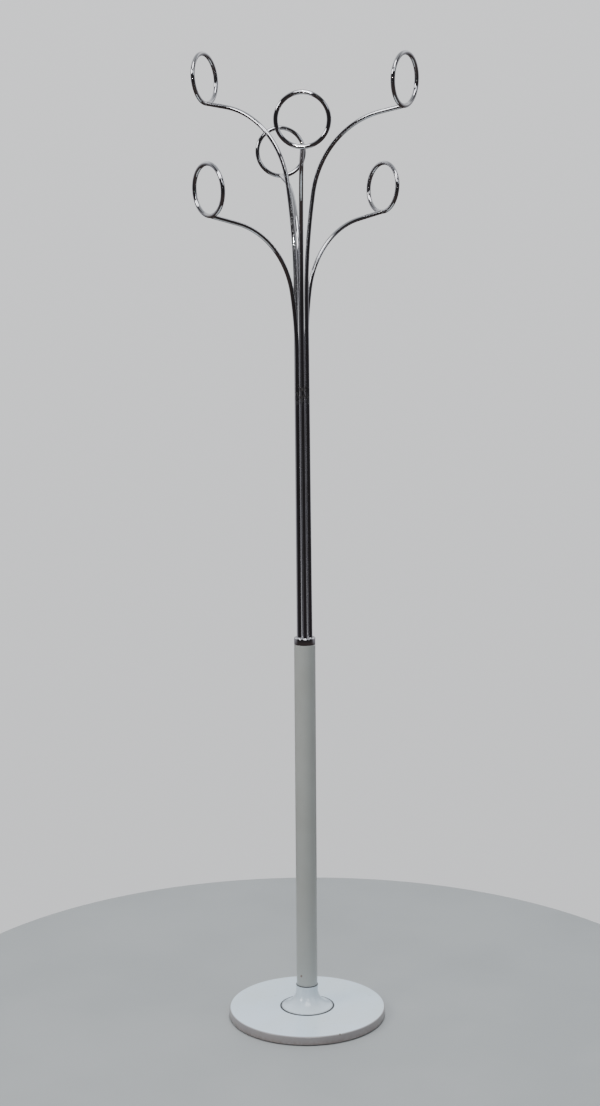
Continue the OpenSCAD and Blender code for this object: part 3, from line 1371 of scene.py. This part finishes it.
@dataclass
class Head:
    """Chrome head that holds the rods, and the spacer that keeps their lower ends apart."""

    spigot_length: float = 40.0
    edge_radius: float = 2.0
    bore: float = 5.05
    bore_depth: float = 32.0
    spacer_hole: float = 5.5
    rod_hole: float = 4.05
    head_drill: float = 120.0
    spacer_drill: float = 30.0
    sides: int = 128

    def build(self, chrome: Material, zinc: Material) -> None:
        """Model and dress the head in chrome and the spacer in zinc."""
        mount(self.head(), "rod_head", chrome)
        mount(self.spacer(), "rod_spacer", zinc)

    def rod_places(self, height: float) -> list[Matrix]:
        """Where the rods cross a height.

        Args:
            height: the height, in millimetres.

        Returns:
            A place for each bore, with Z along the bore.
        """
        head_top = round_size("rod_head")[2]
        shift = Matrix.Translation(UP * ((height - head_top) * MM))
        return [arm.foot(0.0) @ shift for arm in ARMS]

    def head(self) -> Piece:
        """Model the head with its six bores and the threaded hole for the tie rod.

        Returns:
            The head.
        """
        radius, bottom, top = round_size("rod_head")
        shoulder = bottom + self.spigot_length
        spigot = round_size("rod_spacer")[0]
        edge = self.edge_radius
        countersink, chamfer = 0.8, 0.6
        outline = Outline((self.bore, bottom + self.bore_depth), (self.bore, bottom + countersink))
        outline.to((self.bore + countersink, bottom))
        outline.to((spigot - chamfer, bottom), (spigot, bottom + chamfer))
        outline.to((spigot, shoulder))
        outline.to((radius - 0.35, shoulder), (radius - 0.1, shoulder + 0.1), (radius, shoulder + 0.35))
        outline.arc((radius - edge, top - edge), edge, 0.0, 90.0, 10)
        head = Bench.lathe("chrome_head", outline, self.sides, capped=True)
        places = self.rod_places((bottom + top) / 2)
        Bench.drill(head, self.rod_hole * MM, self.head_drill * MM, places)
        return head

    def spacer(self) -> Piece:
        """Model the spacer disc with its six bores.

        Returns:
            The spacer.
        """
        radius, bottom, top = round_size("rod_spacer")
        soft = 0.5
        outline = Outline((self.spacer_hole, bottom), (radius - soft, bottom), (radius, bottom + soft))
        outline.to((radius, top - soft), (radius - soft, top), (self.spacer_hole + soft, top))
        outline.to((self.spacer_hole, top - soft))
        spacer = Bench.lathe("rod_spacer_disc", outline, self.sides)
        places = self.rod_places((bottom + top) / 2)
        Bench.drill(spacer, self.rod_hole * MM, self.spacer_drill * MM, places)
        return spacer


# ---------------------------------------------------------------- studio


@dataclass(frozen=True)
class SoftLamp:
    """A rectangular lamp that points at a spot."""

    name: str
    place: tuple[float, float, float]
    aim: tuple[float, float, float]
    size: tuple[float, float]
    power: float
    colour: Colour = (1.0, 1.0, 1.0)
    mirrored: bool = False

    def build(self) -> None:
        """Add the lamp to the scene."""
        data = bpy.data.lights.new(self.name, "AREA")
        data.shape = "RECTANGLE"
        data.size, data.size_y = self.size
        data.energy = self.power
        data.color = self.colour
        lamp = bpy.data.objects.new(self.name, data)
        lamp.location = self.place
        direction = Vector(self.aim) - Vector(self.place)
        lamp.rotation_euler = direction.to_track_quat("-Z", "Y").to_euler()
        lamp.visible_camera = False
        lamp.visible_glossy = self.mirrored
        bpy.context.scene.collection.objects.link(lamp)


@dataclass(frozen=True)
class BrightPatch:
    """A round patch of the mirrored room. Angles in degrees; the azimuth starts at the front."""

    azimuth: float
    height: float
    reach: float
    colour: Colour
    softness: float = 0.3

    @property
    def way(self) -> Vector:
        """Unit vector towards the patch's middle."""
        turn = turned(self.azimuth, "Z") @ turned(-self.height, "X")
        return turn.to_3x3() @ Vector((0.0, -1.0, 0.0))

    @property
    def edge(self) -> float:
        """Cosine of the angle at which the patch ends."""
        return math.cos(math.radians(self.reach))

    @property
    def core(self) -> float:
        """Cosine of the angle within which the patch is at its brightest."""
        return math.cos(math.radians(self.reach * (1.0 - self.softness)))


@dataclass(frozen=True)
class Studio:
    """Pale floor, soft light and the camera."""

    eye: tuple[float, float, float] = (-0.0076, -3.513, 1.485)
    down: float = 9.38
    roll: float = -0.42
    lens: float = 62.33
    floor_radius: float = 0.80
    floor_sides: int = 128
    backdrop: tuple[Colour, Colour] = ((0.86, 0.87, 0.89), (1.14, 1.15, 1.17))
    fill: tuple[Colour, Colour] = ((0.075, 0.074, 0.068), (0.50, 0.57, 0.64))
    near_wall: Colour = (0.022, 0.020, 0.022)
    far_wall: Colour = (0.30, 0.295, 0.32)
    far_window: Colour = (0.95, 0.96, 1.0)
    room_ceiling: Colour = (0.40, 0.41, 0.43)
    room_floor: Colour = (0.048, 0.038, 0.037)
    lamps: tuple[SoftLamp, ...] = (
        SoftLamp("window_left", (-2.6, -1.6, 2.3), (0.0, 0.0, 0.9), (1.3, 1.6), 36.0, (1.0, 0.995, 0.97)),
        SoftLamp("ceiling", (0.1, -0.1, 3.3), (0.0, 0.0, 0.0), (1.1, 1.1), 95.0, (0.88, 0.95, 1.0)),
        SoftLamp("flash", (0.10, -3.45, 1.75), (0.0, 0.0, 1.0), (0.08, 0.05), 10.0, mirrored=True),
    )

    patches: tuple[BrightPatch, ...] = (
        BrightPatch(50.0, 22.0, 10.0, (1.90, 2.00, 2.15), 0.4),
        BrightPatch(4.0, 53.0, 18.0, (5.0, 5.0, 5.2), 0.2),
        BrightPatch(8.0, 28.0, 6.5, (5.0, 5.0, 5.2), 0.2),
        BrightPatch(-57.0, 25.0, 10.0, (9.0, 9.0, 9.2), 0.2),
    )

    def build(self) -> None:
        """Add everything that isn't part of the rack."""
        self.floor()
        self.world()
        self.camera()
        for lamp in self.lamps:
            lamp.build()

    def floor(self) -> None:
        """Add the round floor."""
        Bench.clear()
        bpy.ops.mesh.primitive_circle_add(
            vertices=self.floor_sides, radius=self.floor_radius, fill_type="NGON",
        )
        floor = bpy.context.object
        floor.name = "studio_floor"
        floor.data.materials.append(StudioFloor().build())

    def world(self) -> None:
        """Surround the rack with a plain room: pale backdrop, soft fill and something to mirror."""
        world = bpy.data.worlds.new("studio")
        bpy.context.scene.world = world
        graph = Graph(world)
        direction = graph.node("ShaderNodeTexCoord", {}, {}, "Generated")
        north = graph.node("ShaderNodeSeparateXYZ", {}, {"Vector": direction}, "Y")
        height = graph.node("ShaderNodeSeparateXYZ", {}, {"Vector": direction}, "Z")
        backdrop = graph.blend(height.ramp(-0.5, 0.6), *self.backdrop)
        far_and_high = north.ramp(0.0, 0.5) * height.ramp(0.10, 0.40)
        mirrored = graph.blend(north.ramp(-0.25, 0.50), self.near_wall, self.far_wall)
        mirrored = graph.blend(far_and_high, mirrored, self.far_window)
        mirrored = graph.blend(height.ramp(0.60, 0.95), mirrored, self.room_ceiling)
        mirrored = graph.blend(height.ramp(-0.10, -0.5), mirrored, self.room_floor)
        for patch in self.patches:
            inputs = {0: direction, 1: patch.way}
            spot = graph.node("ShaderNodeVectorMath", {"operation": "DOT_PRODUCT"}, inputs, "Value")
            mirrored = graph.blend(spot.ramp(patch.edge, patch.core), mirrored, patch.colour)
        camera_ray = graph.node("ShaderNodeLightPath", {}, {}, "Is Camera Ray")
        glossy_ray = graph.node("ShaderNodeLightPath", {}, {}, "Is Glossy Ray")
        fill = graph.blend(height.ramp(-0.2, 0.9), *self.fill)
        colour = graph.blend(glossy_ray, fill, mirrored)
        colour = graph.blend(camera_ray, colour, backdrop)
        shader = graph.node("ShaderNodeBackground", {}, {"Color": colour})
        graph.send("ShaderNodeOutputWorld", shader)

    def camera(self) -> None:
        """Add the camera and make it the scene's."""
        data = bpy.data.cameras.new("view_camera")
        data.sensor_fit = "AUTO"
        data.sensor_width = 36.0
        data.lens = self.lens
        camera = bpy.data.objects.new("view_camera", data)
        bpy.context.scene.collection.objects.link(camera)
        turn = turned(90.0 - self.down, "X") @ turned(self.roll, "Z")
        camera.matrix_world = Matrix.Translation(self.eye) @ turn
        bpy.context.scene.camera = camera


# ---------------------------------------------------------------- the whole rack


def main() -> None:
    """Build the rack and its studio."""
    logging.basicConfig(level=logging.INFO, format="%(message)s")
    foot = Foot()
    chip = tuple(value * MM for value in foot.chip)
    rim = (foot.top - 0.6) * MM
    joint = foot.collar_top * MM
    scratch = (-0.011, -0.0167, 0.084)
    # the foot's white lacquer is coloured bluish-white: painted cool window light
    white = WhiteLacquer(
        "white_lacquer_foot_blue_painted_light", colour=(0.74, 0.83, 0.91), aged_colour=(0.73, 0.79, 0.82),
        # a band low on the foot's side is darker: grime and painted shade
        grime_and_shade_level=1.0 * MM, grime_and_shade_height=13.0 * MM,
        # the foot's outer side is darkened: painted shade with some grime
        worn_and_shaded_radius=foot.radius * MM, side_shade_and_grime=0.84,
        # near-black line in the groove round the collar: painted shadow
        gap_shadows=(GapShadow(Across.RADIUS, (foot.collar_radius + 0.5) * MM, 2.0 * MM),),
        marks=(Mark(chip, 3.0 * MM, (0.16, 0.13, 0.10)),),
    ).build()
    # the collar's white lacquer is coloured bluish-white: painted cool window light
    collar_white_blue_painted_light = WhiteLacquer(
        "white_lacquer_collar_blue_painted_light", colour=(0.73, 0.80, 0.86), aged_colour=(0.70, 0.745, 0.77),
        # the bottom of the collar is darker: grime and painted shade
        roughness=0.16, peel=0.02, grime_and_shade_level=17.0 * MM, grime_and_shade_height=3.5 * MM,
        # near-black lines at the collar's rim and at its lip: painted shadow
        gap_shadows=(GapShadow(Across.HEIGHT, rim, 1.9 * MM), GapShadow(Across.HEIGHT, joint, 0.7 * MM)),
    ).build()
    # the tube's white lacquer is coloured greyer and darker than the foot's: painted shade on its upright
    # side
    tube_white_painted_shade = WhiteLacquer(
        "white_lacquer_tube_painted_shade", colour=(0.61, 0.61, 0.57), aged_colour=(0.55, 0.545, 0.50),
        # the lower tube darkened towards its bottom as painted shade; the band just above the lip is grime
        # and painted shade
        roughness=0.34, grime_and_shade_level=58.0 * MM, grime_and_shade_height=10.0 * MM, painted_shade_height=0.55,
        # near-black line at the collar's lip: painted shadow
        gap_shadows=(GapShadow(Across.HEIGHT, joint, 1.3 * MM),),
        marks=(Mark(scratch, 3.0 * MM, (0.25, 0.14, 0.10), 0.8),),
    ).build()
    zinc = PlatedSteel("zinc_plated_steel", (0.42, 0.43, 0.44), (0.28, 0.28, 0.27)).build()
    spring = PlatedSteel("oiled_spring_steel", (0.16, 0.16, 0.165), (0.09, 0.085, 0.08), 0.4).build()
    chrome = PolishedChrome("polished_chrome", rust_height=1.20).build()
    iron = CastIron().build()
    felt = PressedFelt().build()
    foot.build(white, collar_white_blue_painted_light, iron, felt)
    Column().build(tube_white_painted_shade, zinc, spring)
    Head().build(chrome, zinc)
    for arm in ARMS:
        arm.build(chrome)
    Studio().build()


if __name__ == "__main__":
    main()
